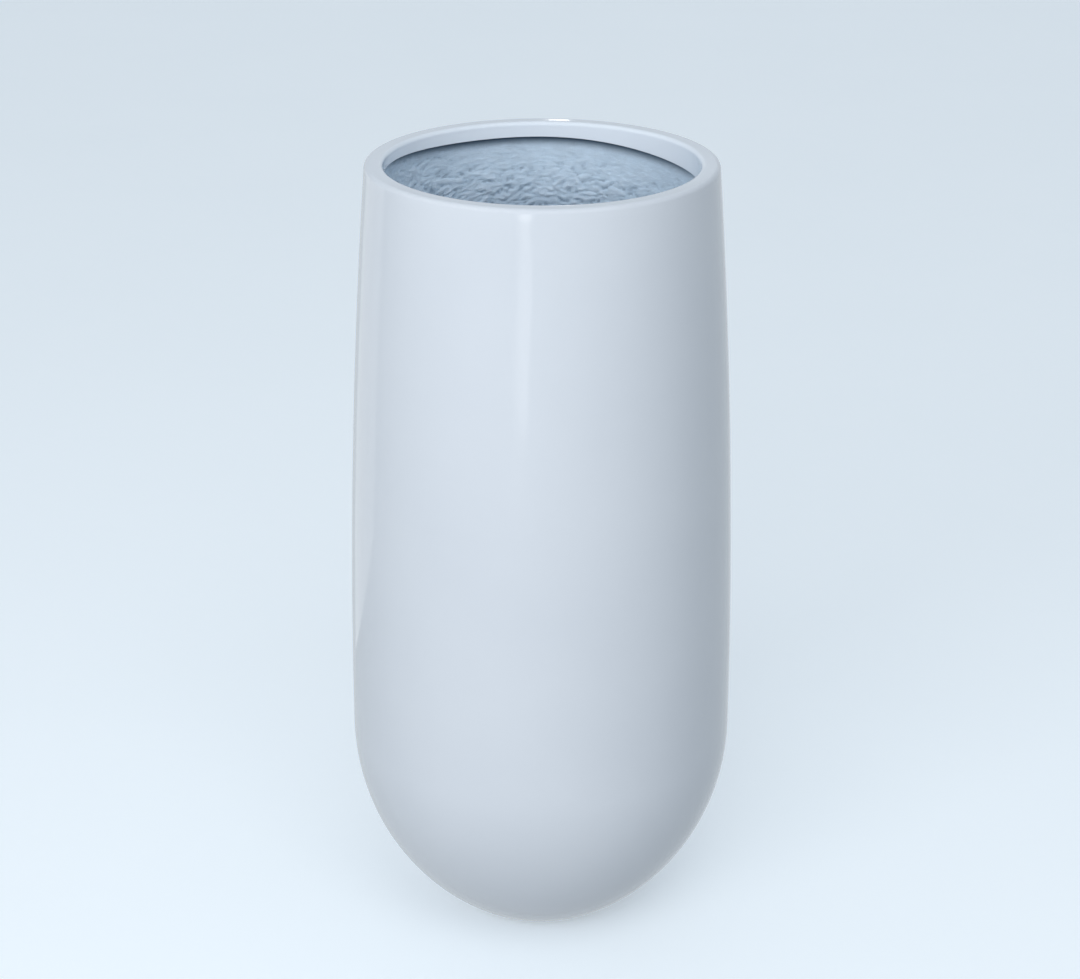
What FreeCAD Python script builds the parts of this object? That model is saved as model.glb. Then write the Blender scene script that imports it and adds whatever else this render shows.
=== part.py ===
import FreeCAD
import Part
import math
import os

# A tall round planter, laid up by hand in glass fibre.
#
# A smooth gelcoated shell makes everything that shows outside. At the top it turns in over a flat rim
# and back down as a short return lip, so its section is a J. A rough laminate backs it from inside, a
# filler ring stiffens the hollow rim, and the lower edge of the lip and the ring are trimmed by hand,
# which leaves them a little deeper on one side. In the bowl a cast ballast block and a laminated
# inner floor keep the narrow foot steady, a drain tube leads through both, a rubber plug closes it,
# and rubber pads lift the foot off the ground so that the drain can run.
#
# Units are millimetres. Z is up, and the origin is on the ground under the centre of the foot.

# Outer face: one arc from the foot to the belly, and one long arc from the belly to the rim
HEIGHT = 820.0
BELLY_RADIUS = 200.0
BELLY_HEIGHT = 212.0
RIM_RADIUS = 175.0
FOOT_RADIUS = 83.0
FOOT_EDGE_ROUND = 16.0
LEAST_ROUND = 0.5

# Rim and return lip
RIM_WIDTH = 18.5
RIM_OUTER_ROUND = 5.0
RIM_INNER_ROUND = 4.0
LIP_DEPTH = 22.0
TRIM_TILT = 2.6
TRIM_HEADING = -45.0
TRIM_SPARE = 2.0
CORE_INSET = 1.5

# Walls and the bond line between pieces that are glued or cast together
SHELL_WALL = 3.0
LINING_WALL = 3.5
BOND = 0.2

# Ballast and inner floor
BALLAST_TOP = 72.0
FLOOR_THICKNESS = 5.0
FLOOR_FALL = 4.0
FLOOR_SEAT_MARGIN = 4.0

# Drain tube
TUBE_BORE_RADIUS = 14.0
TUBE_WALL = 2.5
TUBE_RECESS = 1.0
FLANGE_RADIUS = 28.0
FLANGE_THICKNESS = 3.0
FLANGE_EDGE_ROUND = 1.0

# Drain plug
PLUG_CLEARANCE = 0.08
PLUG_STEM_LENGTH = 26.0
PLUG_RIB_COUNT = 3
PLUG_RIB_HEIGHT = 1.2
PLUG_NOSE_TAPER = 2.0
PLUG_HEAD_RADIUS = 20.0
PLUG_HEAD_THICKNESS = 4.0
PLUG_HEAD_ROUND = 1.2
GRIP_WIDTH = 20.0
GRIP_THICKNESS = 5.0
GRIP_HEIGHT = 16.0
GRIP_BEAD_RADIUS = 4.0

# Foot pads, a little inside the edge of the foot
PAD_COUNT = 4
PAD_RADIUS = 14.0
PAD_THICKNESS = 3.0
PAD_INSET = 11.0
PAD_EDGE_ROUND = 0.8

# What follows from them
FOOT_HEIGHT = PAD_THICKNESS
PAD_CIRCLE_RADIUS = FOOT_RADIUS - PAD_INSET - PAD_RADIUS
MOUTH_RADIUS = RIM_RADIUS - RIM_WIDTH
TUBE_RADIUS = TUBE_BORE_RADIUS + TUBE_WALL
TUBE_HOLE_RADIUS = TUBE_RADIUS + BOND
LIP_BACK_RADIUS = MOUTH_RADIUS + SHELL_WALL
UNDER_RIM = HEIGHT - SHELL_WALL
LINING_DEPTH = SHELL_WALL + BOND
CAVITY_DEPTH = LINING_DEPTH + LINING_WALL
FILL_DEPTH = CAVITY_DEPTH + BOND
FLOOR_UNDERSIDE = BALLAST_TOP + BOND
FLOOR_SEAT = FLOOR_UNDERSIDE + FLOOR_THICKNESS
FLANGE_TOP = FLOOR_SEAT + FLANGE_THICKNESS
LIP_REACH = LIP_DEPTH + LIP_BACK_RADIUS * math.tan(math.radians(TRIM_TILT)) + TRIM_SPARE

# Both arcs have their centres level with the belly; one passes through the edge of the foot, and the
# other through the edge of the rim
FOOT_DROP = BELLY_HEIGHT - FOOT_HEIGHT
FOOT_DRAW_IN = BELLY_RADIUS - FOOT_RADIUS
BOWL_ARC_RADIUS = (FOOT_DROP**2 + FOOT_DRAW_IN**2) / (2 * FOOT_DRAW_IN)
BOWL_CENTRE = (BELLY_RADIUS - BOWL_ARC_RADIUS, BELLY_HEIGHT)
RIM_RISE = HEIGHT - BELLY_HEIGHT
RIM_DRAW_IN = BELLY_RADIUS - RIM_RADIUS
WALL_ARC_RADIUS = (RIM_RISE**2 + RIM_DRAW_IN**2) / (2 * RIM_DRAW_IN)
WALL_CENTRE = (BELLY_RADIUS - WALL_ARC_RADIUS, BELLY_HEIGHT)

UP = FreeCAD.Vector(0, 0, 1)
ORIGIN = FreeCAD.Vector(0, 0, 0)


def at(radius, height):
    """A point of a section, which lies in the half plane of +X."""
    return FreeCAD.Vector(radius, 0, height)


def line(start, end):
    return Part.makeLine(at(*start), at(*end))


def path(points):
    """Straight edges through the points, in order."""
    return [line(start, end) for start, end in zip(points, points[1:])]


def on_arc(centre, radius, angle):
    """The point of an arc at an angle, in radians above the horizontal."""
    return (centre[0] + radius * math.cos(angle), centre[1] + radius * math.sin(angle))


def arc(centre, radius, start, end):
    stops = [on_arc(centre, radius, angle) for angle in (start, (start + end) / 2, end)]
    return Part.Arc(*[at(*stop) for stop in stops]).toShape()


def angle_at_height(centre, radius, height):
    return math.asin((height - centre[1]) / radius)


def radius_at_height(centre, radius, height):
    return on_arc(centre, radius, angle_at_height(centre, radius, height))[0]


def bowl_edge(depth, low, high):
    """The bowl's arc between two heights, as far inside the outer face as depth."""
    radius = BOWL_ARC_RADIUS - depth
    angles = [angle_at_height(BOWL_CENTRE, radius, height) for height in (low, high)]
    return arc(BOWL_CENTRE, radius, *angles)


def bowl_radius(depth, height):
    return radius_at_height(BOWL_CENTRE, BOWL_ARC_RADIUS - depth, height)


def wall_edge(depth, low, high):
    """The wall's arc between two heights, as far inside the outer face as depth."""
    radius = WALL_ARC_RADIUS - depth
    angles = [angle_at_height(WALL_CENTRE, radius, height) for height in (low, high)]
    return arc(WALL_CENTRE, radius, *angles)


def wall_radius(depth, height):
    return radius_at_height(WALL_CENTRE, WALL_ARC_RADIUS - depth, height)


def foot_edges(depth, hole_radius):
    """The flat foot from the drain hole outwards and the round at its edge, up to where the bowl starts."""
    level = FOOT_HEIGHT + depth
    rounding = max(FOOT_EDGE_ROUND - depth, LEAST_ROUND)
    bowl_radius_here = BOWL_ARC_RADIUS - depth
    round_height = level + rounding
    round_radius = radius_at_height(BOWL_CENTRE, bowl_radius_here - rounding, round_height)
    end = angle_at_height(BOWL_CENTRE, bowl_radius_here - rounding, round_height)
    edges = [
        line((hole_radius, level), (round_radius, level)),
        arc((round_radius, round_height), rounding, -math.pi / 2, end),
    ]
    return edges, on_arc(BOWL_CENTRE, bowl_radius_here, end)[1]


def vessel_edges(depth, hole_radius, top):
    """Foot, bowl and wall in one line, as far inside the outer face as depth, from the hole to a height."""
    edges, bowl_start = foot_edges(depth, hole_radius)
    edges.append(bowl_edge(depth, bowl_start, min(top, BELLY_HEIGHT)))
    if top > BELLY_HEIGHT:
        edges.append(wall_edge(depth, BELLY_HEIGHT, top))
    return edges


def revolved(edges):
    """The solid that a closed section sweeps round the Z axis."""
    section = Part.Face(Part.Wire(Part.__sortEdges__(edges)))
    return section.revolve(ORIGIN, UP, 360)


def space_below_trim(raised):
    """All that lies under the tilted plane along which the lip and the filler ring are trimmed."""
    side = 2 * HEIGHT
    corner = FreeCAD.Vector(-side / 2, -side / 2, -side)
    space = Part.makeBox(side, side, side, corner)
    heading = math.radians(TRIM_HEADING)
    hinge = FreeCAD.Vector(-math.sin(heading), math.cos(heading), 0)
    space.rotate(ORIGIN, hinge, TRIM_TILT)
    space.translate(UP * (HEIGHT - LIP_DEPTH + raised))
    return space


def gloss_shell():
    """The gelcoated moulding: foot, bowl, wall, flat rim and return lip in one sheet."""
    outer_round = min(RIM_OUTER_ROUND, RIM_WIDTH / 3)
    inner_round = min(RIM_INNER_ROUND, RIM_WIDTH / 3)
    outer_height = HEIGHT - outer_round
    outer_radius = wall_radius(outer_round, outer_height)
    outer_start = angle_at_height(WALL_CENTRE, WALL_ARC_RADIUS - outer_round, outer_height)
    wall_end = on_arc(WALL_CENTRE, WALL_ARC_RADIUS, outer_start)[1]
    inner_radius = MOUTH_RADIUS + inner_round
    inner_height = HEIGHT - inner_round
    lip_end = HEIGHT - LIP_REACH

    edges = vessel_edges(0, TUBE_HOLE_RADIUS, wall_end)
    edges.append(arc((outer_radius, outer_height), outer_round, outer_start, math.pi / 2))
    edges.append(line((outer_radius, HEIGHT), (inner_radius, HEIGHT)))
    edges.append(arc((inner_radius, inner_height), inner_round, math.pi / 2, math.pi))
    edges += path(
        [
            (MOUTH_RADIUS, inner_height),
            (MOUTH_RADIUS, lip_end),
            (LIP_BACK_RADIUS, lip_end),
            (LIP_BACK_RADIUS, UNDER_RIM),
            (wall_radius(SHELL_WALL, UNDER_RIM), UNDER_RIM),
        ]
    )
    edges += vessel_edges(SHELL_WALL, TUBE_HOLE_RADIUS, UNDER_RIM)
    edges.append(
        line((TUBE_HOLE_RADIUS, FOOT_HEIGHT), (TUBE_HOLE_RADIUS, FOOT_HEIGHT + SHELL_WALL))
    )

    trim_outer = LIP_BACK_RADIUS + BOND / 2
    trim_height = LIP_REACH + TRIM_SPARE
    trim_start = at(0, HEIGHT - trim_height)
    trimmed = Part.makeCylinder(trim_outer, trim_height, trim_start).common(space_below_trim(0))
    return revolved(edges).cut(trimmed)


def rim_core():
    """The filler ring between the return lip and the lining, trimmed just above the lip's edge."""
    top = UNDER_RIM - BOND
    bottom = HEIGHT - LIP_REACH
    inner = LIP_BACK_RADIUS + BOND
    outer_top = (wall_radius(FILL_DEPTH, top), top)
    outer_bottom = (wall_radius(FILL_DEPTH, bottom), bottom)
    edges = [wall_edge(FILL_DEPTH, bottom, top)]
    edges += path([outer_top, (inner, top), (inner, bottom), outer_bottom])
    return revolved(edges).cut(space_below_trim(CORE_INSET))


def laminate_lining():
    """The hand-laid backing, from the drain hole to the underside of the rim."""
    top = UNDER_RIM - BOND
    bottom = FOOT_HEIGHT + LINING_DEPTH
    edges = vessel_edges(LINING_DEPTH, TUBE_HOLE_RADIUS, top)
    edges.append(line((wall_radius(LINING_DEPTH, top), top), (wall_radius(CAVITY_DEPTH, top), top)))
    edges += vessel_edges(CAVITY_DEPTH, TUBE_HOLE_RADIUS, top)
    edges.append(line((TUBE_HOLE_RADIUS, bottom), (TUBE_HOLE_RADIUS, bottom + LINING_WALL)))
    return revolved(edges)


def ballast_block():
    """The cast block that fills the bottom of the bowl."""
    edges = vessel_edges(FILL_DEPTH, TUBE_HOLE_RADIUS, BALLAST_TOP)
    edges += path(
        [
            (bowl_radius(FILL_DEPTH, BALLAST_TOP), BALLAST_TOP),
            (TUBE_HOLE_RADIUS, BALLAST_TOP),
            (TUBE_HOLE_RADIUS, FOOT_HEIGHT + FILL_DEPTH),
        ]
    )
    return revolved(edges)


def inner_floor():
    """The laminated floor over the ballast, with a flat seat for the drain and a fall towards it."""
    edge_height = FLOOR_SEAT + FLOOR_FALL
    seat_radius = FLANGE_RADIUS + FLOOR_SEAT_MARGIN
    edges = [bowl_edge(FILL_DEPTH, FLOOR_UNDERSIDE, edge_height)]
    edges += path(
        [
            (bowl_radius(FILL_DEPTH, edge_height), edge_height),
            (seat_radius, FLOOR_SEAT),
            (TUBE_HOLE_RADIUS, FLOOR_SEAT),
            (TUBE_HOLE_RADIUS, FLOOR_UNDERSIDE),
            (bowl_radius(FILL_DEPTH, FLOOR_UNDERSIDE), FLOOR_UNDERSIDE),
        ]
    )
    return revolved(edges)


def drain_tube():
    """A flanged tube, seated on the inner floor, that ends just inside the underside of the foot."""
    bottom = FOOT_HEIGHT + TUBE_RECESS
    round_height = FLANGE_TOP - FLANGE_EDGE_ROUND
    round_radius = FLANGE_RADIUS - FLANGE_EDGE_ROUND
    edges = path(
        [
            (round_radius, FLANGE_TOP),
            (TUBE_BORE_RADIUS, FLANGE_TOP),
            (TUBE_BORE_RADIUS, bottom),
            (TUBE_RADIUS, bottom),
            (TUBE_RADIUS, FLOOR_SEAT),
            (FLANGE_RADIUS, FLOOR_SEAT),
            (FLANGE_RADIUS, round_height),
        ]
    )
    edges.append(arc((round_radius, round_height), FLANGE_EDGE_ROUND, 0, math.pi / 2))
    return revolved(edges)


def plug_grip():
    """A flat pull tab with a bead along its top, standing on the plug's head."""
    foot = FLANGE_TOP + PLUG_HEAD_THICKNESS / 2
    bead_height = FLANGE_TOP + PLUG_HEAD_THICKNESS + GRIP_HEIGHT
    corner = FreeCAD.Vector(-GRIP_WIDTH / 2, -GRIP_THICKNESS / 2, foot)
    tab = Part.makeBox(GRIP_WIDTH, GRIP_THICKNESS, bead_height - foot, corner)
    bead_start = FreeCAD.Vector(-GRIP_WIDTH / 2, 0, bead_height)
    bead = Part.makeCylinder(GRIP_BEAD_RADIUS, GRIP_WIDTH, bead_start, FreeCAD.Vector(1, 0, 0))
    return tab.fuse(bead)


def drain_plug():
    """A rubber stopper: ribbed stem with a tapered nose, a head that rests on the flange, and a grip."""
    rib_radius = TUBE_BORE_RADIUS - PLUG_CLEARANCE
    stem_radius = rib_radius - PLUG_RIB_HEIGHT
    nose = FLANGE_TOP - PLUG_STEM_LENGTH
    rib_pitch = PLUG_STEM_LENGTH / (PLUG_RIB_COUNT + 1)
    head_top = FLANGE_TOP + PLUG_HEAD_THICKNESS
    round_radius = PLUG_HEAD_RADIUS - PLUG_HEAD_ROUND
    round_height = head_top - PLUG_HEAD_ROUND

    outline = [(0, head_top), (0, nose), (stem_radius - PLUG_NOSE_TAPER, nose)]
    for number in range(PLUG_RIB_COUNT):
        rib = nose + rib_pitch * (number + 1)
        outline += [(stem_radius, rib - rib_pitch / 2), (rib_radius, rib), (stem_radius, rib)]
    outline += [(stem_radius, FLANGE_TOP), (PLUG_HEAD_RADIUS, FLANGE_TOP)]
    outline.append((PLUG_HEAD_RADIUS, round_height))
    edges = path(outline)
    edges.append(arc((round_radius, round_height), PLUG_HEAD_ROUND, 0, math.pi / 2))
    edges.append(line((round_radius, head_top), (0, head_top)))
    return revolved(edges).fuse(plug_grip()).removeSplitter()


def foot_pad(number):
    """One of the rubber pads that are glued under the foot, evenly round it."""
    angle = 2 * math.pi * (number + 0.5) / PAD_COUNT
    inner = PAD_RADIUS - PAD_EDGE_ROUND
    edges = path(
        [
            (inner, 0),
            (0, 0),
            (0, PAD_THICKNESS),
            (PAD_RADIUS, PAD_THICKNESS),
            (PAD_RADIUS, PAD_EDGE_ROUND),
        ]
    )
    edges.append(arc((inner, PAD_EDGE_ROUND), PAD_EDGE_ROUND, -math.pi / 2, 0))
    pad = revolved(edges)
    pad.translate(FreeCAD.Vector(math.cos(angle), math.sin(angle), 0) * PAD_CIRCLE_RADIUS)
    return pad


def planter():
    """Every piece of the planter by its name."""
    pieces = {
        "gloss_shell": gloss_shell(),
        "rim_core": rim_core(),
        "laminate_lining": laminate_lining(),
        "ballast_block": ballast_block(),
        "inner_floor": inner_floor(),
        "drain_tube": drain_tube(),
        "drain_plug": drain_plug(),
    }
    for number in range(PAD_COUNT):
        pieces[f"foot_pad_{number + 1}"] = foot_pad(number)
    return pieces


os.makedirs("parts", exist_ok=True)
for name, piece in planter().items():
    piece.exportStep(f"parts/{name}.step")
    print(name, "solids", len(piece.Solids), "valid", piece.isValid(), "volume", round(piece.Volume))
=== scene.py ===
import math

import bpy
import numpy as np
from mathutils import Matrix, Vector, noise


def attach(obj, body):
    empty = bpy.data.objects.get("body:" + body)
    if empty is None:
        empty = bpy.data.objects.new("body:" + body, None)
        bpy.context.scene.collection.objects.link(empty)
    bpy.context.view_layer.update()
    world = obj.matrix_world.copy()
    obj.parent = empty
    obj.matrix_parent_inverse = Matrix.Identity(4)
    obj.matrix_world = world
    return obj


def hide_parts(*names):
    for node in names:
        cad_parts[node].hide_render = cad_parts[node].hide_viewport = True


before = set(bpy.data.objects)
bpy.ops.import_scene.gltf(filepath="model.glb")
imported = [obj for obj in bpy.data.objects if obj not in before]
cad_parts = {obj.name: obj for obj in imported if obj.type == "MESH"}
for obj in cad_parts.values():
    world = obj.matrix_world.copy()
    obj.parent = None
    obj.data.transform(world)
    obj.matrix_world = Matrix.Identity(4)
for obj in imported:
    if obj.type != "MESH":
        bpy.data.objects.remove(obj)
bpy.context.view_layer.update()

# Without a seed, noise_vector takes its offsets from the clock and every run differs
NOISE_SEED = 5
noise.seed_set(NOISE_SEED)

# ---------------------------------------------------------------------------------------------
# The planter's sizes, in millimetres, as the solids have them
# ---------------------------------------------------------------------------------------------
MM = 0.001
HEIGHT = 820.0
BELLY_RADIUS = 200.0
BELLY_HEIGHT = 212.0
RIM_RADIUS = 175.0
RIM_WIDTH = 18.5
RIM_OUTER_ROUND = 5.0
RIM_INNER_ROUND = 4.0
FOOT_RADIUS = 83.0
FOOT_HEIGHT = 3.0
FOOT_EDGE_ROUND = 16.0
SHELL_WALL = 3.0
LINING_WALL = 3.5
BOND = 0.2
FLOOR_UNDERSIDE = 72.2
FLOOR_THICKNESS = 5.0
FLOOR_FALL = 4.0
TUBE_HOLE_RADIUS = 16.7
FLANGE_SEAT_RADIUS = 32.0

# The return lip is trimmed by hand, on a plane that leans towards the front right
LIP_DEPTH = 22.0
TRIM_TILT = math.radians(2.6)
TRIM_HEADING = math.radians(-45.0)

# What follows from them
MOUTH_RADIUS = RIM_RADIUS - RIM_WIDTH
LIP_BACK_RADIUS = MOUTH_RADIUS + SHELL_WALL
LIP_TOP = HEIGHT - RIM_INNER_ROUND
UNDER_RIM = HEIGHT - SHELL_WALL
LINING_DEPTH = SHELL_WALL + BOND
CAVITY_DEPTH = LINING_DEPTH + LINING_WALL
FILL_DEPTH = CAVITY_DEPTH + BOND
FLOOR_SEAT = FLOOR_UNDERSIDE + FLOOR_THICKNESS
FLOOR_EDGE = FLOOR_SEAT + FLOOR_FALL

# Both arcs of the outer face have their centres level with the belly
FOOT_DROP = BELLY_HEIGHT - FOOT_HEIGHT
FOOT_DRAW_IN = BELLY_RADIUS - FOOT_RADIUS
BOWL_ARC_RADIUS = (FOOT_DROP**2 + FOOT_DRAW_IN**2) / (2 * FOOT_DRAW_IN)
BOWL_CENTRE = (BELLY_RADIUS - BOWL_ARC_RADIUS, BELLY_HEIGHT)
RIM_RISE = HEIGHT - BELLY_HEIGHT
RIM_DRAW_IN = BELLY_RADIUS - RIM_RADIUS
WALL_ARC_RADIUS = (RIM_RISE**2 + RIM_DRAW_IN**2) / (2 * RIM_DRAW_IN)
WALL_CENTRE = (BELLY_RADIUS - WALL_ARC_RADIUS, BELLY_HEIGHT)


# ---------------------------------------------------------------------------------------------
# Sections, as lists of (radius, height)
# ---------------------------------------------------------------------------------------------
# A row this far inside the foot's edge round keeps the round's shading off the flat
HEEL = 0.6
FOOT_FLAT_POINTS = 6


def arc_points(centre, radius, start, end, count):
    return [
        (centre[0] + radius * math.cos(a), centre[1] + radius * math.sin(a))
        for a in np.linspace(start, end, count)
    ]


def span(start, end, count):
    return [
        (start[0] + (end[0] - start[0]) * t, start[1] + (end[1] - start[1]) * t)
        for t in np.linspace(0, 1, count)
    ]


def wall_angle(depth, height):
    return math.asin((height - WALL_CENTRE[1]) / (WALL_ARC_RADIUS - depth))


def wall_radius(depth, height):
    return WALL_CENTRE[0] + (WALL_ARC_RADIUS - depth) * math.cos(wall_angle(depth, height))


def bowl_angle(depth, height):
    return math.asin((height - BOWL_CENTRE[1]) / (BOWL_ARC_RADIUS - depth))


def bowl_radius(depth, height):
    return BOWL_CENTRE[0] + (BOWL_ARC_RADIUS - depth) * math.cos(bowl_angle(depth, height))


def foot_points(depth, count):
    """The round at the foot's edge, from the flat up to the bowl, and the bowl's height there."""
    level = FOOT_HEIGHT + depth
    rounding = FOOT_EDGE_ROUND - depth
    inner = BOWL_ARC_RADIUS - depth - rounding
    end = math.asin((level + rounding - BOWL_CENTRE[1]) / inner)
    centre = (BOWL_CENTRE[0] + inner * math.cos(end), level + rounding)
    points = arc_points(centre, rounding, -math.pi / 2, end, count)
    return points, points[-1][1]


def bowl_points(depth, start, end, count):
    return arc_points(BOWL_CENTRE, BOWL_ARC_RADIUS - depth, start, end, count)


def vessel_points(depth, top, foot, bowl, wall):
    """Foot, bowl and wall in one line, as far inside the outer face as depth, up to the height top.

    The last three say how many points each stretch has."""
    points, start = foot_points(depth, foot)
    heel = (points[0][0] - HEEL, points[0][1])
    points = span((TUBE_HOLE_RADIUS, FOOT_HEIGHT + depth), heel, FOOT_FLAT_POINTS) + points
    points += bowl_points(depth, bowl_angle(depth, start), 0.0, bowl)[1:]
    points += arc_points(WALL_CENTRE, WALL_ARC_RADIUS - depth, 0.0, wall_angle(depth, top), wall)[1:]
    return points


# ---------------------------------------------------------------------------------------------
# Meshes
# ---------------------------------------------------------------------------------------------
def piece_from(name, points, faces, smooth=True):
    mesh = bpy.data.meshes.new(name)
    mesh.vertices.add(len(points))
    mesh.vertices.foreach_set("co", np.ascontiguousarray(points, np.float32).ravel())
    faces = np.asarray(faces, np.int32)
    mesh.loops.add(faces.size)
    mesh.loops.foreach_set("vertex_index", faces.ravel())
    mesh.polygons.add(len(faces))
    mesh.polygons.foreach_set("loop_start", np.arange(0, faces.size, faces.shape[1], dtype=np.int32))
    mesh.polygons.foreach_set("use_smooth", np.full(len(faces), smooth))
    mesh.update(calc_edges=True)
    mesh.validate()
    obj = bpy.data.objects.new(name, mesh)
    bpy.context.scene.collection.objects.link(obj)
    return obj


def ring_faces(rows, around):
    """Quads of a closed section that is swept right round."""
    row = np.arange(rows)[:, None]
    col = np.arange(around)[None, :]
    next_row = (row + 1) % rows
    next_col = (col + 1) % around
    corners = [
        row * around + col,
        row * around + next_col,
        next_row * around + next_col,
        next_row * around + col,
    ]
    return np.stack(corners, -1).reshape(-1, 4)


def swept(name, radius, height, angles):
    """A closed ring of rows by angles; radius and height are arrays of rows by angles, in mm."""
    points = np.stack([radius * np.cos(angles), radius * np.sin(angles), height], -1) * MM
    return piece_from(name, points.reshape(-1, 3), ring_faces(*radius.shape))


def level_rows(section, around):
    """The radius and the height of a section that is the same all round, as rows by angles."""
    radius = np.array([[r] * around for r, _ in section])
    height = np.array([[z] * around for _, z in section])
    return radius, height


def store(obj, name, values):
    """Keeps a value for each vertex, which a material can read by its name."""
    layer = obj.data.attributes.new(name, "FLOAT", "POINT")
    layer.data.foreach_set("value", np.ascontiguousarray(values, np.float32).ravel())


def turn(count):
    return np.linspace(0, 2 * math.pi, count, endpoint=False)


def soft_step(x, low, high):
    """From 0 at low to 1 at high, eased at both."""
    t = np.clip((x - low) / (high - low), 0, 1)
    return t * t * (3 - 2 * t)


def climb(x, low, high):
    """From 0 at low to 1 at high, in a straight line and no further."""
    return min(max((x - low) / (high - low), 0), 1)


def scaled(x, y, z, across, along):
    """A point in mm as a place in noise whose features measure about across by along."""
    return Vector((x / across, y / across, z / along))


def smooth_noise(radius, height, angles, across, along, seed):
    """Noise at points of a swept surface, with features of across by along, in mm."""
    out = np.empty(radius.shape)
    x, y = radius * np.cos(angles) / across, radius * np.sin(angles) / across
    z = height / along + seed
    for i in np.ndindex(radius.shape):
        out[i] = noise.noise(Vector((x[i], y[i], z[i])))
    return out


# The wobble of the hand cut: its mean, then the cosine and the sine of 1, 2, 3 and 4 waves a turn
TRIM_MEAN = -0.3
TRIM_WAVES = ((0.22, -0.15), (-0.32, -0.08), (0.56, 0.11), (-0.73, 0.61))


def lip_depth(angles):
    """How far the return lip reaches below the rim: the trim plane and the wobble of the hand cut."""
    depth = LIP_DEPTH + math.tan(TRIM_TILT) * MOUTH_RADIUS * np.cos(angles - TRIM_HEADING)
    depth += TRIM_MEAN
    for waves, (cosine, sine) in enumerate(TRIM_WAVES, 1):
        depth += cosine * np.cos(waves * angles) + sine * np.sin(waves * angles)
    return depth


# ---------------------------------------------------------------------------------------------
# The gelcoated shell, with the slight waves of a hand-polished surface
# ---------------------------------------------------------------------------------------------
SHELL_AROUND = 420
ROUND_POINTS = 9
RIM_FLAT_POINTS = 6

# Where the lip's rows lie on its face and on its back, as shares of the way to the trimmed edge
FACE_SHARES = np.linspace(0.12, 0.94, 8)
BACK_SHARES = (0.9, 0.5, 0.15)
# The small rounds of the trimmed edge, as (way in from the lip's side, height above the edge)
TRIMMED_ROUND = ((0.0, 0.5), (0.12, 0.18), (0.5, 0.0))

# The waves' depth, the heights between which they come in, and their parts, each as (share, size
# across, size along, seed)
WAVE_DEPTH = 0.22
WAVE_START = (20.0, 90.0)
WAVES = ((0.7, 95.0, 150.0, 3.7), (0.3, 38.0, 60.0, 11.2))


def rim_points(start):
    """The rim from the end of the wall to the top of the lip: a round, a flat and a round."""
    corner = HEIGHT - RIM_OUTER_ROUND
    centre = (wall_radius(RIM_OUTER_ROUND, corner), corner)
    points = arc_points(centre, RIM_OUTER_ROUND, start, math.pi / 2, ROUND_POINTS)[1:]
    centre = (MOUTH_RADIUS + RIM_INNER_ROUND, LIP_TOP)
    points += span(points[-1], (centre[0], HEIGHT), RIM_FLAT_POINTS)[1:]
    points += arc_points(centre, RIM_INNER_ROUND, math.pi / 2, math.pi, ROUND_POINTS)[1:]
    return points


def lip_rows():
    """The lip's rows, as (radius, height, share of the lip's reach that comes off the height)."""
    rows = [(MOUTH_RADIUS, LIP_TOP, share) for share in FACE_SHARES]
    rows += [(MOUTH_RADIUS + inset, LIP_TOP + rise, 1.0) for inset, rise in TRIMMED_ROUND]
    rows += [(LIP_BACK_RADIUS - inset, LIP_TOP + rise, 1.0) for inset, rise in TRIMMED_ROUND[::-1]]
    rows += [(LIP_BACK_RADIUS, LIP_TOP, share) for share in BACK_SHARES]
    return rows


def build_shell():
    angles = turn(SHELL_AROUND)
    start = wall_angle(RIM_OUTER_ROUND, HEIGHT - RIM_OUTER_ROUND)
    wall_end = WALL_CENTRE[1] + WALL_ARC_RADIUS * math.sin(start)
    outside = vessel_points(0, wall_end, foot=9, bowl=40, wall=76) + rim_points(start)
    inside = [(LIP_BACK_RADIUS, UNDER_RIM)]
    inside += vessel_points(SHELL_WALL, UNDER_RIM, foot=4, bowl=12, wall=14)[::-1]

    rows = [(r, z, 0.0) for r, z in outside] + lip_rows() + [(r, z, 0.0) for r, z in inside]
    rows = np.array(rows)
    radius = rows[:, :1] * np.ones(SHELL_AROUND)
    height = rows[:, 1:2] - rows[:, 2:] * (lip_depth(angles) - RIM_INNER_ROUND)

    # Waves only go inwards, so the surface stays within the solids
    shown = slice(0, len(outside))
    r, z = radius[shown], height[shown]
    wave = sum(share * smooth_noise(r, z, angles, *size_and_seed) for share, *size_and_seed in WAVES)
    radius[shown] = r - WAVE_DEPTH * soft_step(z, *WAVE_START) * np.clip(0.5 + wave, 0, 1)
    return swept("shell_skin", radius, height, angles)


# ---------------------------------------------------------------------------------------------
# The rough laminate inside
# ---------------------------------------------------------------------------------------------
LINING_AROUND = 600
LINING_TOP = UNDER_RIM - BOND
# Rows of the wall, as (from height, to height, rows): closest together where the mouth shows them
LINING_STRETCHES = (
    (LINING_TOP, 800.0, 7),
    (800.0, 694.0, 81),
    (694.0, 640.0, 14),
    (640.0, BELLY_HEIGHT, 19),
)
BOWL_ROWS = 16
ROUGH_BOWL_ROWS = 10

# The rough relief fades into smooth waves from the upper of these heights to the lower one
ROUGH_HEIGHTS = (640.0, 710.0)
DEEPEST_PIT = -1.0
# Depths below the lip's edge, or above it where negative, between which the relief's parts come in
RELIEF_START = (-4.0, 2.0)
WRINKLES_START = (10.0, 55.0)
FOLDS_START = (27.0, 60.0)
LEFT_WRINKLES_START = (0.0, 12.0)
LEFT_FOLDS_START = (3.0, 15.0)
LEFT_EXTRA = 0.6
RIGHT_CALM = 0.4
# Sizes of the relief's features, as (across, along)
CRINKLE_SIZE = (15.0, 9.0)
LUMP_SIZE = (34.0, 26.0)
CRUMPLE_SIZE = (14.0, 7.4)
PATCH_SIZE = (70.0, 45.0)
CALM_SIZE = (60.0, 75.0)

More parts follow.
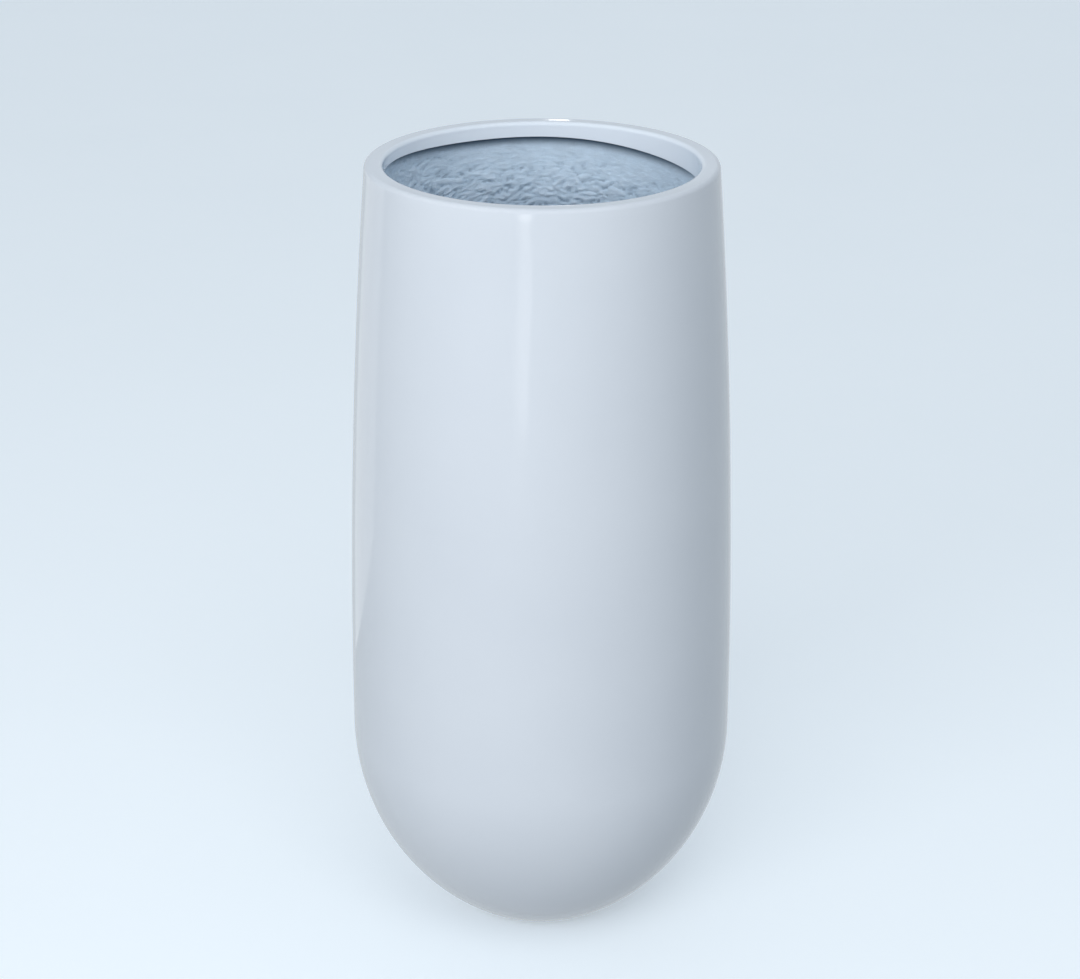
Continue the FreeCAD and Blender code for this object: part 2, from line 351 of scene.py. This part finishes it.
# Cosines of the angle from one side, between which that side's look comes in
SIDE = (0.25, 0.85)
# Depths below the lip's edge between which the painted shade under it fades out, and how much lower they
# are on the right
UNDER_LIP_SHADE_END = (2.5, 15.0)
UNDER_LIP_SHADE_LATER = (1.5, 3.0)


def crinkle(x, y, z):
    """Relief of the hand-laid laminate at a point in mm: lumps, crumpled ridges and fine creases."""
    place = scaled(x, y, z, *CRINKLE_SIZE)
    place += 0.6 * noise.noise_vector(0.6 * place)
    falloff, lacunarity, octaves, offset, gain = 0.7, 2.1, 3, 0.95, 1.9
    ridges = noise.ridged_multi_fractal(place, falloff, lacunarity, octaves, offset, gain) - 1.1
    lumps = noise.noise(scaled(x, y, z, *LUMP_SIZE) + Vector((0.0, 0.0, 5.0)))
    creases = 0.5 - 2.2 * abs(noise.noise(1.9 * place + Vector((7.0, 3.0, 1.0))))
    return 0.62 * ridges + 0.6 * lumps + 0.42 * creases


def crumple(x, y, z):
    """The deeper folds lower down: hills with creases between them and sharp ridges on them."""
    place = scaled(x, y, z, *CRUMPLE_SIZE)
    place += 0.7 * noise.noise_vector(0.6 * place)
    hills = abs(noise.noise(place))
    ridges = 0.4 - abs(noise.noise(2.0 * place + Vector((3.0, 8.0, 2.0))))
    return 1.35 * hills + 1.5 * ridges - 0.42


def lining_relief(x, y, z, below, left, calm):
    """How far the laminate stands in from its even face, at a depth below the lip's edge."""
    patch = 0.5 + 0.5 * noise.noise(scaled(x, y, z, *PATCH_SIZE))
    strength = 0.3 + 0.7 * climb(below, *WRINKLES_START) * (0.5 + 0.8 * patch)
    strength += LEFT_EXTRA * left * climb(below, *LEFT_WRINKLES_START)
    strength *= climb(below, *RELIEF_START)
    folds = climb(below, *FOLDS_START) * (1.0 + 1.5 * patch) * calm
    folds += LEFT_EXTRA * left * climb(below, *LEFT_FOLDS_START)
    rough = max(strength * crinkle(x, y, z) + folds * crumple(x, y, z), DEEPEST_PIT)
    waves = noise.noise(scaled(x, y, z, *CALM_SIZE))
    upper = soft_step(z, *ROUGH_HEIGHTS)
    return upper * rough + (1 - upper) * waves


def lining_section():
    """The lining's section, and how many of its rows, from the top of its inside, are rough."""
    heights = []
    for start, end, rows in LINING_STRETCHES:
        heights += list(np.linspace(start, end, rows, endpoint=False))
    inside = [(wall_radius(CAVITY_DEPTH, z), z) for z in heights]
    rough_rows = len(inside) + ROUGH_BOWL_ROWS
    foot, start = foot_points(CAVITY_DEPTH, 3)
    inside += bowl_points(CAVITY_DEPTH, 0.0, bowl_angle(CAVITY_DEPTH, start), BOWL_ROWS)
    inside += foot[::-1][1:]
    inside += span(foot[0], (TUBE_HOLE_RADIUS, FOOT_HEIGHT + CAVITY_DEPTH), 3)[1:]
    outside = vessel_points(LINING_DEPTH, LINING_TOP, foot=3, bowl=8, wall=8)
    return inside + outside, rough_rows


def build_lining():
    angles = turn(LINING_AROUND)
    section, rough_rows = lining_section()
    radius, height = level_rows(section, LINING_AROUND)
    below = HEIGHT - lip_depth(angles) - height
    # The laminate is rougher on the left and calmer on the right
    left = soft_step(-np.cos(angles), *SIDE)
    right = soft_step(np.cos(angles), *SIDE)
    calm = 1 - RIGHT_CALM * right
    relief = np.zeros(radius.shape)
    for row in range(rough_rows):
        for col, angle in enumerate(angles):
            if below[row, col] < RELIEF_START[0]:
                continue
            r, z = radius[row, col], height[row, col]
            x, y = r * math.cos(angle), r * math.sin(angle)
            relief[row, col] = lining_relief(x, y, z, below[row, col], left[col], calm[col])
    radius -= relief
    obj = swept("rough_lining", radius, height, angles)
    store(obj, "relief", relief)
    # Painted shade: the lining is darkened just under the lip's edge, where the lip shades it
    start, end = (depth + later * right for depth, later in zip(UNDER_LIP_SHADE_END, UNDER_LIP_SHADE_LATER))
    store(obj, "lip_shade_mask", 1 - soft_step(below, start, end))
    return obj


# ---------------------------------------------------------------------------------------------
# The filler behind the lip, a little above its trimmed edge
# ---------------------------------------------------------------------------------------------
CORE_AROUND = 360
CORE_RISE = 3.0
CORE_SAG = 1.6
# The outside is straight, with the radius that the wall has at this height
CORE_LEVEL = HEIGHT - 20.0
CORE_ROUGHNESS = 0.8
CORE_LUMP = 9.0
CORE_SEED = 2.0


def build_core():
    angles = turn(CORE_AROUND)
    inner = LIP_BACK_RADIUS + BOND
    outer = wall_radius(FILL_DEPTH, CORE_LEVEL)
    top = UNDER_RIM - BOND
    bottom = HEIGHT - lip_depth(angles) + CORE_RISE
    inside = [(inner, top + (bottom - top) * share) for share in (0.0, 0.5, 0.97)]
    underside = [
        (inner + (outer - inner) * share, bottom + CORE_SAG * math.sin(math.pi * share))
        for share in np.linspace(0.03, 0.97, 8)
    ]
    outside = [(outer, bottom + (top - bottom) * share) for share in (0.03, 0.5)]
    outside.append((wall_radius(FILL_DEPTH, top), top))
    rows = inside + underside + outside
    radius = np.array([r * np.ones(CORE_AROUND) for r, _ in rows])
    height = np.array([z * np.ones(CORE_AROUND) for _, z in rows])
    rough = slice(len(inside), len(inside) + len(underside))
    lumps = smooth_noise(radius[rough], height[rough], angles, CORE_LUMP, CORE_LUMP, CORE_SEED)
    height[rough] += CORE_ROUGHNESS * lumps
    return swept("rough_core", radius, height, angles)


# ---------------------------------------------------------------------------------------------
# The laminated floor over the ballast
# ---------------------------------------------------------------------------------------------
FLOOR_AROUND = 300
SEAT_ROWS = 5
SLOPE_ROWS = 56
UNDERSIDE_ROWS = 6
FLOOR_ROUGHNESS = 0.9
# The relief comes in over this distance outside the flange's seat, and is crinkle's at one height
FLOOR_EASE = 12.0
FLOOR_RELIEF_HEIGHT = 40.0


def build_inner_floor():
    angles = turn(FLOOR_AROUND)
    seat = (FLANGE_SEAT_RADIUS, FLOOR_SEAT)
    upper = span((TUBE_HOLE_RADIUS, FLOOR_SEAT), seat, SEAT_ROWS)
    upper += span(seat, (bowl_radius(FILL_DEPTH, FLOOR_EDGE), FLOOR_EDGE), SLOPE_ROWS)[1:]
    under_edge = (bowl_radius(FILL_DEPTH, FLOOR_UNDERSIDE), FLOOR_UNDERSIDE)
    lower = span(under_edge, (TUBE_HOLE_RADIUS, FLOOR_UNDERSIDE), UNDERSIDE_ROWS)
    radius, height = level_rows(upper + lower, FLOOR_AROUND)
    relief = np.zeros(radius.shape)
    for row in range(SEAT_ROWS + 1, len(upper) - 1):
        r = upper[row][0]
        ease = climb(r, FLANGE_SEAT_RADIUS, FLANGE_SEAT_RADIUS + FLOOR_EASE)
        for col, angle in enumerate(angles):
            x, y = r * math.cos(angle), r * math.sin(angle)
            relief[row, col] = ease * crinkle(x, y, FLOOR_RELIEF_HEIGHT)
    height += FLOOR_ROUGHNESS * relief
    obj = swept("rough_floor", radius, height, angles)
    store(obj, "relief", relief)
    return obj


# ---------------------------------------------------------------------------------------------
# Materials
# ---------------------------------------------------------------------------------------------
# The colour mix node's sockets: factor, first colour and second colour, and its colour output
MIX_INPUTS = (0, 6, 7)
MIX_OUTPUT = 2
# Noise lies mostly between these values
NOISE_LOW = 0.3
NOISE_HIGH = 0.7


class Nodes:
    """Makes and links the nodes of one tree."""

    def __init__(self, tree):
        self.nodes = tree.nodes
        self.links = tree.links

    def feed(self, socket, value):
        """Links a socket to another one, or sets it to a value; a colour has three parts."""
        if isinstance(value, bpy.types.NodeSocket):
            self.links.new(value, socket)
        elif isinstance(value, tuple) and socket.type == "RGBA":
            socket.default_value = (*value, 1)
        else:
            socket.default_value = value

    def node(self, kind, inputs=(), **settings):
        made = self.nodes.new(kind)
        for key, value in settings.items():
            setattr(made, key, value)
        for key, value in dict(inputs).items():
            self.feed(made.inputs[key], value)
        return made

    def maths(self, operation, *values, **settings):
        return self.node("ShaderNodeMath", enumerate(values), operation=operation, **settings).outputs[0]

    def mapped(self, value, limits, results=(0.0, 1.0), kind="LINEAR"):
        """A value's way between two limits, as a value between two results, and no further."""
        names = ("From Min", "From Max", "To Min", "To Max")
        inputs = {"Value": value, **dict(zip(names, (*limits, *results)))}
        return self.node("ShaderNodeMapRange", inputs, interpolation_type=kind).outputs["Result"]

    def part(self, vector, axis):
        return self.node("ShaderNodeSeparateXYZ", {"Vector": vector}).outputs[axis]


class Shader(Nodes):
    """A Principled material whose colour, roughness and bump come from procedural nodes."""

    def __init__(self, name, **values):
        self.material = bpy.data.materials.new(name)
        self.material.use_nodes = True
        super().__init__(self.material.node_tree)
        self.shader = self.nodes["Principled BSDF"]
        for socket, value in values.items():
            self.shader.inputs[socket.replace("_", " ")].default_value = value
        self.where = self.node("ShaderNodeTexCoord").outputs["Object"]

    def noise(self, size, detail=4.0, roughness=0.55, stretch=(1, 1, 1), distortion=0.0, kind="FBM"):
        """Noise with features of about that size, in metres."""
        place = self.node("ShaderNodeMapping", {"Vector": self.where, "Scale": stretch})
        return self.node(
            "ShaderNodeTexNoise",
            {
                "Vector": place.outputs["Vector"],
                "Scale": 1 / size,
                "Detail": detail,
                "Roughness": roughness,
                "Distortion": distortion,
            },
            noise_type=kind,
        ).outputs["Fac"]

    def ramp(self, factor, stops):
        """Colours, or grey levels, by their places along the factor."""
        made = self.node("ShaderNodeValToRGB", {"Fac": factor})
        band = made.color_ramp
        while len(band.elements) < len(stops):
            band.elements.new(0.5)
        for element, (place, colour) in zip(band.elements, stops):
            element.position = place
            element.color = (*colour, 1) if isinstance(colour, tuple) else (colour,) * 3 + (1,)
        return made.outputs["Color"]

    def tones(self, factor, dark, light):
        """From a dark to a light tone, as noise goes."""
        return self.ramp(factor, [(NOISE_LOW, dark), (NOISE_HIGH, light)])

    def mixed(self, factor, first, second, how="MIX"):
        made = self.node("ShaderNodeMix", data_type="RGBA", blend_type=how)
        for key, value in zip(MIX_INPUTS, (factor, first, second)):
            self.feed(made.inputs[key], value)
        return made.outputs[MIX_OUTPUT]

    def times(self, first, second):
        return self.mixed(1.0, first, second, "MULTIPLY")

    def stored(self, name):
        return self.node("ShaderNodeAttribute", attribute_name=name).outputs["Fac"]

    def colour(self, value):
        self.links.new(value, self.shader.inputs["Base Color"])

    def rough(self, factor, low, high):
        made = self.mapped(factor, (NOISE_LOW, NOISE_HIGH), (low, high))
        self.links.new(made, self.shader.inputs["Roughness"])

    def bump(self, *layers):
        """Layers of (height, distance in metres), from the coarsest to the finest."""
        normal = None
        for value, distance in layers:
            made = self.node("ShaderNodeBump", {"Height": value, "Distance": distance, "Strength": 1.0})
            if normal:
                self.links.new(normal, made.inputs["Normal"])
            normal = made.outputs["Normal"]
        self.links.new(normal, self.shader.inputs["Normal"])


def gelcoat():
    s = Shader("gelcoat", IOR=1.5, Coat_Weight=0.35, Coat_Roughness=0.02, Coat_IOR=1.5)
    tone = s.noise(0.16, detail=3.0, roughness=0.5)
    s.colour(s.tones(tone, (0.702, 0.767, 0.847), (0.727, 0.792, 0.870)))
    s.rough(s.noise(0.035, roughness=0.6), 0.055, 0.095)
    orange_peel = s.noise(0.012, detail=2.0, roughness=0.5)
    polish = s.noise(0.0022, detail=2.0, roughness=0.5)
    s.bump((orange_peel, 0.000012), (polish, 0.0000015))
    return s.material


# The laminate's paint colour in its pits, darkened there as painted shade, on its even face, and on its
# ridges, lightened there as a painted highlight; the painted shade that darkens it deep inside; and the
# painted shade just under the lip's edge
PAINTED_SHADE_IN_PITS = (0.26, 0.35, 0.46)
PAINT_ON_FACE = (0.66, 0.81, 0.955)
PAINTED_HIGHLIGHT_ON_RIDGES = (0.72, 0.85, 0.985)
PAINTED_DEEP_SHADE = (0.68, 0.71, 0.74)
PAINTED_SHADE_UNDER_LIP = (0.05, 0.085, 0.13)
# The relief in mm that has the pits' painted shade and the ridges' painted highlight, and the even face's
# place between them
PAINT_RELIEF = (-1.3, 1.1)
FACE_PLACE = 0.42
# Heights in metres between which the painted shade deep inside fades out going up: fully darker below the
# lower one, none above the upper one
DEEP_SHADE_HEIGHTS = (0.69, 0.765)


def laminate(name, tint=1.0):
    s = Shader(name, IOR=1.45, Specular_IOR_Level=0.35)
    colours = (PAINTED_SHADE_IN_PITS, PAINT_ON_FACE, PAINTED_HIGHLIGHT_ON_RIDGES)
    tinted = [tuple(tint * value for value in colour) for colour in colours]
    # The colour follows the relief: painted shade in the pits, a painted highlight on the ridges
    base = s.ramp(s.mapped(s.stored("relief"), PAINT_RELIEF), list(zip((0.0, FACE_PLACE, 1.0), tinted)))
    blotch = s.tones(s.noise(0.022, detail=5.0, roughness=0.62, distortion=0.6), 0.90, 1.0)
    streak = s.noise(0.006, roughness=0.6, stretch=(0.5, 0.5, 1.6))
    streak = s.ramp(streak, [(0.3, 0.93), (0.65, 1.0)])
    paint_and_shade = s.times(s.times(base, blotch), streak)
    # Darker lower inside the vessel: painted shade
    clear_of_deep_shade = s.mapped(s.part(s.where, "Z"), DEEP_SHADE_HEIGHTS)
    paint_and_shade = s.mixed(clear_of_deep_shade, s.times(paint_and_shade, PAINTED_DEEP_SHADE), paint_and_shade)
    # Painted shade under the lip's edge, as a near-black colour
    s.colour(s.mixed(s.stored("lip_shade_mask"), paint_and_shade, PAINTED_SHADE_UNDER_LIP))
    s.rough(s.noise(0.008, roughness=0.6), 0.42, 0.66)
    wrinkles = s.noise(0.0075, stretch=(0.7, 0.7, 1.4), kind="RIDGED_MULTIFRACTAL")
    fibres = s.noise(0.0030, roughness=0.62, stretch=(0.7, 0.7, 1.3), distortion=0.8)
    grain = s.noise(0.0011, detail=3.0, roughness=0.6)
    s.bump((wrinkles, 0.0007), (fibres, 0.0006), (grain, 0.0002))
    return s.material


def filler():
    s = Shader("filler", IOR=1.45, Specular_IOR_Level=0.3)
    tone = s.noise(0.007, detail=5.0, roughness=0.6)
    s.colour(s.tones(tone, (0.15, 0.18, 0.22), (0.23, 0.27, 0.31)))
    s.rough(tone, 0.6, 0.8)
    s.bump((s.noise(0.004, roughness=0.6), 0.0006))
    return s.material


def cast_stone():
    s = Shader("cast_stone", IOR=1.5, Specular_IOR_Level=0.3)
    grain = s.noise(0.0022, detail=6.0, roughness=0.7)
    tone = s.tones(s.noise(0.03, roughness=0.6), (0.40, 0.375, 0.34), (0.48, 0.46, 0.43))
    s.colour(s.mixed(0.55, tone, s.ramp(grain, [(0.35, 0.25), (0.65, 0.62)]), "OVERLAY"))
    s.rough(grain, 0.7, 0.95)
    s.bump((s.noise(0.01, roughness=0.6), 0.0008), (grain, 0.0003))
    return s.material


def tube_plastic():
    s = Shader("tube_plastic", IOR=1.47)
    tone = s.noise(0.01, roughness=0.6)
    s.colour(s.tones(tone, (0.26, 0.275, 0.29), (0.30, 0.315, 0.33)))
    s.rough(tone, 0.32, 0.48)
    s.bump((s.noise(0.0009, detail=3.0), 0.00003))
    return s.material


def rubber(name, dark, light, rough):
    s = Shader(name, IOR=1.48, Specular_IOR_Level=0.4, Sheen_Weight=0.15, Sheen_Roughness=0.5)
    tone = s.noise(0.006, detail=5.0, roughness=0.65)
    s.colour(s.tones(tone, (dark, dark, dark), (light, light, light * 1.05)))
    s.rough(tone, *rough)
    s.bump((s.noise(0.0007, detail=3.0, roughness=0.6), 0.00005))
    return s.material


# ---------------------------------------------------------------------------------------------
# Floor, light and camera
# ---------------------------------------------------------------------------------------------
# The pale floor that the planter stands on: half its side, in metres, and the tones of its glow
GROUND_REACH = 30.0
GROUND_TONES = ((0.845, 0.925, 0.985), (0.86, 0.94, 1.0))
# The floor's lit colour where it is seen near the planter and away from it, in the light that it
# sheds, and in the gloss
GROUND_NEAR = (0.65, 0.71, 0.76)
GROUND_AWAY = (0.02, 0.02, 0.02)
GROUND_SHED = (0.39, 0.41, 0.43)
GROUND_MIRRORED = (0.1, 0.1, 0.1)
# How brightly it glows where it is seen near the planter and away from it, and in the gloss
GLOW_NEAR = 0.395
GLOW_AWAY = 0.77
GLOW_MIRRORED = 0.66
# Places on Y, in front, and distances all round, between which the floor near the planter ends
NEAR_IN_FRONT = (-0.7, -1.9)
NEAR_ALL_ROUND = (5.0, 14.0)

WORLD_COLOUR = (0.86, 0.93, 1.0)
WORLD_SEEN = 0.82
WORLD_MIRRORED = 0.72
# The strengths of the light that the world sheds from most sides and from behind, and how far along
# Y a direction points where the first gives way to the second
WORLD_SHED = (0.45, 0.95)
WORLD_BEHIND = (0.5, 0.95)

WARM = (1.0, 0.975, 0.95)
WARMISH = (1.0, 0.985, 0.97)
COOL = (0.9, 0.96, 1.0)
WHITE = (1, 1, 1)
CARD_SIZE = (0.68, 0.8)
CARD_RADIANCE = 0.27
# Panels low in front, which the gloss shows as one soft streak and a patch above it, each as (left,
# right, lowest height, highest height, radiance), before they lean
PANELS = (
    (-0.31, -0.155, 0.14, 0.67, 0.25),
    (-0.35, -0.145, 0.33, 0.60, 0.2),
    (-0.32, -0.150, 0.35, 0.62, 0.2),
    (-0.28, -0.155, 0.31, 0.64, 0.2),
    (-0.39, -0.20, 0.70, 0.84, 0.8),
    (-0.36, -0.225, 0.66, 0.84, 0.8),
    (-0.38, -0.21, 0.61, 0.84, 0.5),
)
# They lean sideways about a height, and stand one in front of the other from a place on Y
PANEL_LEAN = math.radians(13)
PANEL_PIVOT = 0.52
PANEL_FRONT = -1.2
PANEL_STEP = 0.02

CAMERA_PLACE = (-0.0365, -2.3917, 1.4543)
CAMERA_YAW = 0.0146
CAMERA_PITCH = 0.39
CAMERA_ROLL = 0.0019
CAMERA_LENS = 83.333
CAMERA_SENSOR = 36.0


def build_floor():
    side = GROUND_REACH
    corners = [(-side, -side, 0), (side, -side, 0), (side, side, 0), (-side, side, 0)]
    floor = piece_from("floor", corners, [[0, 1, 2, 3]], smooth=False)
    s = Shader("floor_paint_pale", IOR=1.45, Specular_IOR_Level=0.1)
    path = s.node("ShaderNodeLightPath").outputs
    mirrored = path["Is Glossy Ray"]
    seen = s.maths("ADD", path["Is Camera Ray"], path["Is Transmission Ray"], use_clamp=True)
    # Away from the planter it glows evenly instead, so no lamp draws a hard edge there
    in_front = s.mapped(s.part(s.where, "Y"), NEAR_IN_FRONT, kind="SMOOTHSTEP")
    distance = s.node("ShaderNodeVectorMath", {0: s.where}, operation="LENGTH").outputs["Value"]
    away = s.maths("MAXIMUM", in_front, s.mapped(distance, NEAR_ALL_ROUND, kind="SMOOTHSTEP"))
    lit = s.mixed(away, GROUND_NEAR, GROUND_AWAY)
    s.colour(s.mixed(seen, s.mixed(mirrored, GROUND_SHED, GROUND_MIRRORED), lit))
    s.rough(s.noise(0.05, detail=3.0, roughness=0.5), 0.6, 0.75)
    glow = s.mapped(away, (0.0, 1.0), (GLOW_NEAR, GLOW_AWAY))
    glow = s.maths("MULTIPLY_ADD", seen, glow, s.maths("MULTIPLY", mirrored, GLOW_MIRRORED))
    s.feed(s.shader.inputs["Emission Strength"], glow)
    pale = s.tones(s.noise(0.4, detail=3.0, roughness=0.5), *GROUND_TONES)
    s.feed(s.shader.inputs["Emission Color"], pale)
    floor.data.materials.append(s.material)


def build_world():
    """Dim for the light that it sheds, less so behind, and even and pale where it is seen."""
    world = bpy.data.worlds.new("studio")
    bpy.context.scene.world = world
    world.use_nodes = True
    tree = Nodes(world.node_tree)
    direction = tree.node("ShaderNodeTexCoord").outputs["Generated"]
    shed = tree.mapped(tree.part(direction, "Y"), WORLD_BEHIND, WORLD_SHED, kind="SMOOTHSTEP")
    path = tree.node("ShaderNodeLightPath").outputs
    mirrored = path["Is Glossy Ray"]
    seen = tree.maths("ADD", path["Is Camera Ray"], path["Is Transmission Ray"])
    unseen = tree.maths("SUBTRACT", 1.0, tree.maths("ADD", seen, mirrored))
    strength = tree.maths("MULTIPLY", unseen, shed)
    strength = tree.maths("MULTIPLY_ADD", seen, WORLD_SEEN, strength)
    strength = tree.maths("MULTIPLY_ADD", mirrored, WORLD_MIRRORED, strength)
    background = tree.nodes["Background"]
    tree.feed(background.inputs["Color"], WORLD_COLOUR)
    tree.feed(background.inputs["Strength"], strength)


def softbox(name, place, target, size, power, colour=WHITE, hidden="glossy"):
    """A lamp of that size that faces its target, hidden from the camera and one kind of ray."""
    data = bpy.data.lights.new(name, "AREA")
    data.shape = "RECTANGLE"
    data.size, data.size_y = size
    data.energy = power
    data.color = colour
    lamp = bpy.data.objects.new(name, data)
    lamp.location = place
    lamp.rotation_euler = (Vector(target) - Vector(place)).to_track_quat("-Z", "Y").to_euler()
    lamp.visible_camera = False
    setattr(lamp, "visible_" + hidden, False)
    bpy.context.scene.collection.objects.link(lamp)
    return lamp


def power_of(radiance, size):
    """The power in watts of a lamp that the gloss shows that bright."""
    return radiance * math.pi * size[0] * size[1]


def build_lights():
    softbox("key", (-1.65, -3.6, 1.9), (0, 0, 0.42), (3.1, 2.7), 94, WARM)
    softbox("top", (0.35, -2.0, 3.0), (0, 0, 0.7), (1.6, 1.6), 17.5, WARMISH)
    softbox("fill", (0, -0.08, 0.88), (0, 0.16, 0.8), (0.15, 0.05), 0.12, COOL)
    # A card behind on the left, which the gloss shows as a paler band down that side
    power = power_of(CARD_RADIANCE, CARD_SIZE)
    softbox("card", (-0.76, 0.45, 0.45), (-0.76, 0, 0.45), CARD_SIZE, power, hidden="diffuse")
    for order, (left, right, low, high, radiance) in enumerate(PANELS):
        size = (right - left, high - low)
        middle = (low + high) / 2
        centre = (left + right) / 2 + (middle - PANEL_PIVOT) * math.tan(PANEL_LEAN)
        place = (centre, PANEL_FRONT - PANEL_STEP * order, middle)
        power = power_of(radiance, size)
        panel = softbox("panel", place, (centre, 0, middle), size, power, hidden="diffuse")
        panel.rotation_euler.rotate_axis("Z", -PANEL_LEAN)
    softbox("spot", (0.082, 3.0, 1.52), (0, 0, 0.8), (0.045, 0.07), 0.028, hidden="diffuse")


def build_camera():
    yaw, pitch, roll = CAMERA_YAW, CAMERA_PITCH, CAMERA_ROLL
    forward = Vector((math.sin(yaw) * math.cos(pitch), math.cos(yaw) * math.cos(pitch), -math.sin(pitch)))
    level = Vector((math.cos(yaw), -math.sin(yaw), 0))
    rise = level.cross(forward)
    right = level * math.cos(roll) + rise * math.sin(roll)
    up = rise * math.cos(roll) - level * math.sin(roll)
    turned = Matrix((right, up, -forward)).transposed().to_4x4()
    data = bpy.data.cameras.new("camera")
    data.lens = CAMERA_LENS
    data.sensor_width = CAMERA_SENSOR
    camera = bpy.data.objects.new("camera", data)
    camera.matrix_world = Matrix.Translation(CAMERA_PLACE) @ turned
    bpy.context.scene.collection.objects.link(camera)
    bpy.context.scene.camera = camera


# ---------------------------------------------------------------------------------------------
# The planter, and the scene round it
# ---------------------------------------------------------------------------------------------
PAD_COUNT = 4


def dress(obj, material, body, node):
    """Puts a visual piece, with its material, in the place of a node of a body."""
    obj.data.materials.append(material)
    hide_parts(node)
    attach(obj, body)


def recolour(node, material):
    """Gives a node that shows as it is its material."""
    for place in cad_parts[node].material_slots:
        place.material = material


dress(build_shell(), gelcoat(), "vessel", "gloss_shell")
dress(build_lining(), laminate("laminate_paint"), "vessel", "laminate_lining")
dress(build_core(), filler(), "vessel", "rim_core")
# Like the lining, its colour carries painted shade in the pits, a painted highlight on the ridges and the
# painted shade deep inside
dress(build_inner_floor(), laminate("floor_paint", 0.97), "vessel", "inner_floor")
recolour("ballast_block", cast_stone())
recolour("drain_tube", tube_plastic())
recolour("drain_plug", rubber("plug_rubber", dark=0.022, light=0.032, rough=(0.42, 0.6)))
pad_rubber = rubber("pad_rubber", dark=0.035, light=0.05, rough=(0.6, 0.8))
for number in range(1, PAD_COUNT + 1):
    recolour(f"foot_pad_{number}", pad_rubber)

build_floor()
build_world()
build_lights()
build_camera()
bpy.context.scene.view_settings.view_transform = "Standard"
